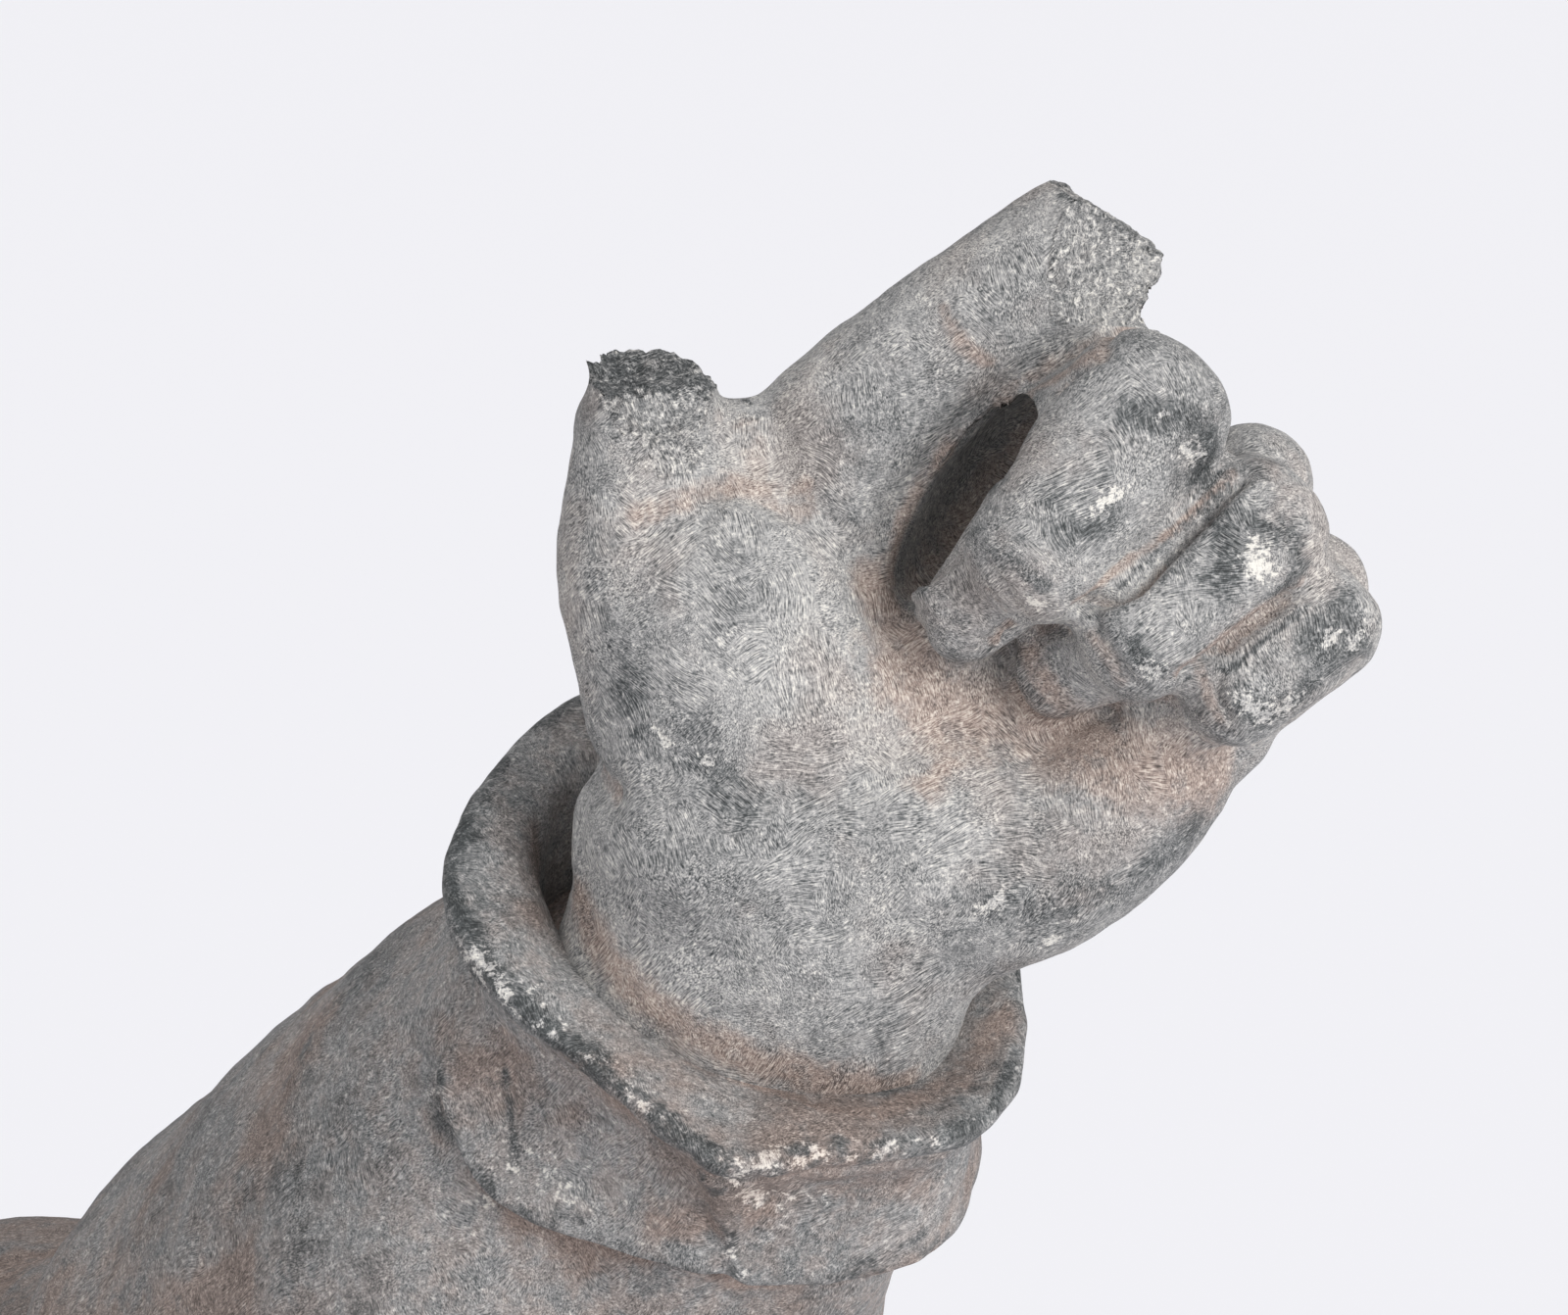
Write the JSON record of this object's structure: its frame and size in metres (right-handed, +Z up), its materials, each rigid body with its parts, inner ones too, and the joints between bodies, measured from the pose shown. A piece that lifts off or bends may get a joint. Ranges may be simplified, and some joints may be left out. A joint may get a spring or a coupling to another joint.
{
  "type": "soapstone prophet statue",
  "caption": "Robed, bearded prophet carved in grey soapstone, pointing with a raised left hand whose thumb and forefinger are broken, on a low base.",
  "frame": {"origin": "middle of the base's flat underside", "axes": "+Z up, the figure looks along -Y, its left hand is at +X"},
  "size_m": [0.3469, 0.2508, 0.7391],
  "materials": {
    "soapstone": "rubbed and finely rasped, with darker high points and brown dust in its hollows"
  },
  "bodies": {
    "root": {"statue": "soapstone"}
  },
  "joints": []
}
